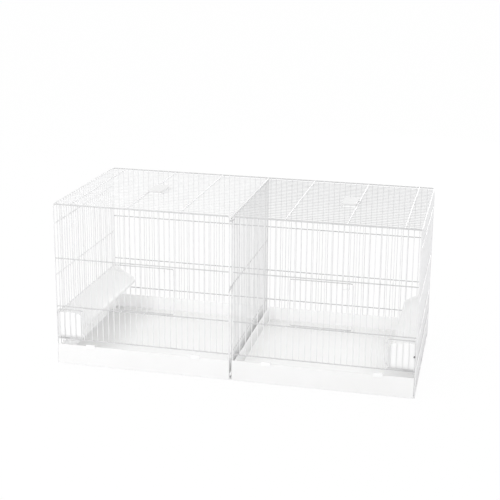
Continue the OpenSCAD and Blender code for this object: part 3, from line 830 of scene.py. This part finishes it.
def drawSheet(bm, start, moves):
    s = feederSet
    edges = sectionPath(bm, start, moves, s["y"][0])
    pullRing(bm, edges, Vector((0, (s["y"][1] - s["y"][0]) * mm, 0)))
    faceOutwards(bm)


def wallPiece(word, node, bm, side):
    piece = finishPiece(word + side.capitalize(), bm, feederPlastic, "cage",
                        [node + "_" + side], side, tidy=False, sharp=30)
    giveWall(piece, feederSet["wall"])
    roundEdges(piece, feederSet["edge"], 3)


def feederTrough(side):
    bm = bmesh.new()
    s = feederSet
    facts = noseFacts(s)
    drawSheet(bm, (s["wallX"], s["slotZ"][1]), [
        ("line", s["wallX"], s["lowZ"]), ("line", facts["under"].x, s["lowZ"]),
        ("turn", tuple(facts["under"]), facts["lowAngle"] - 270, 8),
        ("line", onFall(facts, s["slotZ"][0]), s["slotZ"][0])])
    wallPiece("feederTrough", "feeder_trough", bm, side)


def feederCover(side):
    bm = bmesh.new()
    s = feederSet
    facts = noseFacts(s)
    drawSheet(bm, (s["wallX"], s["slotZ"][1]), [
        ("line", s["wallX"], s["topZ"]), ("line", *facts["top"]),
        ("turn", tuple(facts["nose"]), facts["lowAngle"] - facts["topAngle"], 9),
        ("line", onFall(facts, s["slotZ"][1]), s["slotZ"][1])])
    wallPiece("feederCover", "feeder_cover", bm, side)


# The front cap is a rounded plate, its corners turned about their own centres.
def feederFrontCap(side):
    bm = bmesh.new()
    s = capSet
    wallX = feederSet["wallX"]
    sectionPath(bm, (wallX, s["low"]), [
        ("line", wallX, s["top"]), ("line", s["x"] + s["upperR"], s["top"]),
        ("turn", (s["x"] + s["upperR"], s["top"] - s["upperR"]), 90, 10),
        ("line", s["x"], s["low"] + s["underR"]),
        ("turn", (s["x"] + s["underR"], s["low"] + s["underR"]), 90, 10),
        ("line", wallX, s["low"])], s["y"][0])
    bmesh.ops.remove_doubles(bm, verts=bm.verts, dist=joinGap)
    face = bmesh.ops.contextual_create(bm, geom=list(bm.edges))["faces"]
    made = bmesh.ops.extrude_face_region(bm, geom=face)["geom"]
    bmesh.ops.translate(bm, verts=[g for g in made if isinstance(g, bmesh.types.BMVert)],
                        vec=(0, (s["y"][1] - s["y"][0]) * mm, 0))
    piece = finishPiece("feederFrontCap" + side.capitalize(), bm, litCapPlastic, "cage",
                        ["feeder_front_cap_" + side], side, sharp=30)
    roundEdges(piece, s["edge"], 4)


# The rear cap is a shell over the feeder's end, closed at its back.
def feederRearCap(side):
    bm = bmesh.new()
    s = feederSet
    facts = noseFacts(s)
    front, back = rearCapSet["y"]
    sectionPath(bm, (s["wallX"], s["lowZ"]), [
        ("line", s["wallX"], s["topZ"]), ("line", *facts["top"]),
        ("turn", tuple(facts["nose"]), facts["lowAngle"] - facts["topAngle"], 9),
        ("line", *facts["fallTo"]), ("turn", tuple(facts["under"]), 270 - facts["lowAngle"], 8),
        ("line", s["wallX"], s["lowZ"])], front)
    bmesh.ops.remove_doubles(bm, verts=bm.verts, dist=joinGap)
    rim = pullRing(bm, list(bm.edges), Vector((0, (back - front) * mm, 0)))
    bmesh.ops.contextual_create(bm, geom=rim)
    bmesh.ops.recalc_face_normals(bm, faces=bm.faces)
    middle = Vector((s["core"][0], rearCapSet["coreY"], s["core"][1])) * mm
    if sum(f.normal.dot(f.calc_center_median() - middle) * f.calc_area() for f in bm.faces) < 0:
        bmesh.ops.reverse_faces(bm, faces=bm.faces)
    wallPiece("feederRearCap", "feeder_rear_cap", bm, side)


for side in ("right", "left"):
    feederTrough(side)
    feederCover(side)
    feederFrontCap(side)
    feederRearCap(side)
print("feeders are in")

dividerSet = {
    "railX": -0.85, "barX": 0.95, "railY": (-203.0, 201.0), "railZ": (8.1, 67.0, 240.0, 409.4),
    "rail": 2.4, "thin": 1.8, "barZ": (7.3, 410.2), "ends": (-201.0, 199.0),
    "hookY": -208.3, "lowHook": ((-5.0, 226.5), (8.0, 253.5), 240.0),
    "topHook": ((-3.0, 402.4), (9.0, 409.4), 405.9), "stem": 2.2, "stemIn": 1.0,
    "bead": (1.0, 1.2, 1.2), "hookBead": (1.5, 1.2, 1.5),
}


def divider():
    bm = bmesh.new()
    s = dividerSet
    rows = [k * grid["pitch"] for k in range(-grid["rows"], grid["rows"] + 1)] + list(s["ends"])
    for z in s["railZ"]:
        bendWire(bm, [(s["railX"], s["railY"][0], z), (s["railX"], s["railY"][1], z)], s["rail"])
    for y in rows:
        bendWire(bm, [(s["barX"], y, s["barZ"][0]), (s["barX"], y, s["barZ"][1])], s["thin"])
        for z in s["railZ"]:
            weldBead(bm, (s["railX"] + s["rail"] / 2 - bead["sink"], y, z), s["bead"])
    finishPiece("dividerGrid", bm, dividerAndShadeWire, "divider", ["divider"])
    bm = bmesh.new()
    for low, high, z in (s["lowHook"], s["topHook"]):
        bendWire(bm, [(low[0], s["hookY"], low[1]), (high[0], s["hookY"], high[1])], s["rail"])
        bendWire(bm, [(s["railX"], s["hookY"], z), (s["railX"], s["railY"][0] + s["stemIn"], z)], s["stem"])
        weldBead(bm, (s["railX"], s["hookY"] + s["stemIn"], z), s["hookBead"])
    # The hooks take the darker rail material: painted shade.
    finishPiece("dividerHooks", bm, railShadeWire, "divider", ["divider_hooks"])


divider()
print("divider is in")

barSet = {"x": (-2.7, 2.7), "y": (-206.4, 203.6), "z": (411.6, 416.4), "edge": 1.1}


def roofBar():
    bm = bmesh.new()
    boxInto(bm, barSet["x"], barSet["y"], barSet["z"])
    piece = finishPiece("roofBar", bm, roofPlastic, "cage", ["roof_bar"])
    roundEdges(piece, barSet["edge"], 4)


lidSet = {"in": 1.7, "wide": 36.4, "y": (-40.3, 25.7), "z": (416.7, 421.9), "wall": 2.0, "cornerR": 4.0,
          "edge": 0.7, "loops": (-21.9, 7.3), "loopZ": 415.0, "loopR": 3.4, "loopBore": 1.815,
          "loopWide": 2.4}


def roofLid(side):
    s = lidSet
    hingeX = roofSet["lidX"][side]
    word = "roofLid" + side.capitalize()
    bm = bmesh.new()
    boxInto(bm, (hingeX - s["in"] - s["wide"], hingeX - s["in"]), s["y"], s["z"])
    bmesh.ops.delete(bm, geom=[f for f in bm.faces if f.normal.z < -0.9], context="FACES_ONLY")
    bevelEdges(bm, [e for e in bm.edges if isUpright(e)], s["cornerR"], 5)
    piece = finishPiece(word, bm, roofPlastic, "lid_" + side, ["roof_lid_" + side], side,
                        tidy=False, sharp=30)
    giveWall(piece, s["wall"])
    roundEdges(piece, s["edge"], 3)
    bm = bmesh.new()
    for y in s["loops"]:
        wireLoop(bm, (hingeX, y, s["loopZ"]), (0, 1, 0), s["loopR"], s["loopBore"], s["loopWide"])
    finishPiece(word + "Loops", bm, roofPlastic, "lid_" + side, ["roof_lid_" + side], side)


roofBar()
for side in ("right", "left"):
    roofLid(side)
print("roof bar and lids are on")

stageSet = {"size": 60.0, "floor": (0.95, 0.95, 0.95), "showWhite": 0.96, "world": 0.95}
lampAim = (0, 0, 0.2)
lampSet = [
    {"name": "keyPanel", "place": (-1.5, -1.1, 1.7), "size": (1.0, 1.0), "power": 3},
    {"name": "frontPanel", "place": (-1.3, -2.4, 1.6), "size": (1.2, 1.2), "power": 12},
    {"name": "leftPanel", "place": (-2.4, -0.3, 0.5), "size": (0.8, 1.2), "power": 5},
    {"name": "rightPanel", "place": (2.4, -0.3, 0.5), "size": (0.8, 1.2), "power": 2.5},
    {"name": "backPanel", "place": (0.6, 2.8, 1.0), "size": (1.0, 1.0), "power": 12},
]


# The camera sees the floor as plain white, and the cage is lit by it as by a pale floor.
def makeFloor(s):
    bm = bmesh.new()
    bmesh.ops.create_grid(bm, x_segments=1, y_segments=1, size=s["size"] / 2)
    mesh = bpy.data.meshes.new("floor")
    bm.to_mesh(mesh)
    bm.free()
    material = bpy.data.materials.new("paleFloor")
    material.use_nodes = True
    tree = material.node_tree
    link = tree.links.new
    shader = tree.nodes["Principled BSDF"]
    shader.inputs["Base Color"].default_value = (*s["floor"], 1)
    shader.inputs["Roughness"].default_value = 0.9
    shader.inputs["Specular IOR Level"].default_value = 0.1
    rays = addNode(tree, "ShaderNodeLightPath")
    seen = addNode(tree, "ShaderNodeMath", operation="MAXIMUM")
    link(rays.outputs["Is Camera Ray"], seen.inputs[0])
    link(rays.outputs["Is Glossy Ray"], seen.inputs[1])
    share = addNode(tree, "ShaderNodeMath", operation="MULTIPLY")
    share.inputs[1].default_value = s["showWhite"]
    link(seen.outputs["Value"], share.inputs[0])
    white = addNode(tree, "ShaderNodeEmission")
    mix = addNode(tree, "ShaderNodeMixShader")
    link(share.outputs["Value"], mix.inputs["Fac"])
    link(shader.outputs["BSDF"], mix.inputs[1])
    link(white.outputs["Emission"], mix.inputs[2])
    link(mix.outputs["Shader"], tree.nodes["Material Output"].inputs["Surface"])
    mesh.materials.append(material)
    floor = bpy.data.objects.new("floor", mesh)
    scene.collection.objects.link(floor)


def makeWorld(s):
    world = bpy.data.worlds.new("studio")
    scene.world = world
    world.use_nodes = True
    tree = world.node_tree
    link = tree.links.new
    rays = addNode(tree, "ShaderNodeLightPath")
    seen = addNode(tree, "ShaderNodeMath", operation="MAXIMUM")
    link(rays.outputs["Is Camera Ray"], seen.inputs[0])
    link(rays.outputs["Is Glossy Ray"], seen.inputs[1])
    seenToo = addNode(tree, "ShaderNodeMath", operation="MAXIMUM")
    link(seen.outputs["Value"], seenToo.inputs[0])
    link(rays.outputs["Is Transmission Ray"], seenToo.inputs[1])
    strength = addNode(tree, "ShaderNodeMapRange")
    strength.inputs["To Min"].default_value = s["world"]
    link(seenToo.outputs["Value"], strength.inputs["Value"])
    link(strength.outputs["Result"], tree.nodes["Background"].inputs["Strength"])
    tree.nodes["Background"].inputs["Color"].default_value = (1, 1, 1, 1)


def makeLamps(rows):
    for s in rows:
        data = bpy.data.lights.new(s["name"], "AREA")
        data.energy = s["power"]
        data.shape = "RECTANGLE"
        data.size, data.size_y = s["size"]
        lamp = bpy.data.objects.new(s["name"], data)
        place = Vector(s["place"])
        aim = (Vector(lampAim) - place).to_track_quat("-Z", "Y")
        lamp.matrix_world = Matrix.Translation(place) @ aim.to_matrix().to_4x4()
        scene.collection.objects.link(lamp)


makeFloor(stageSet)
makeWorld(stageSet)
makeLamps(lampSet)
scene.view_settings.view_transform = "Standard"
print("stage and light are set")
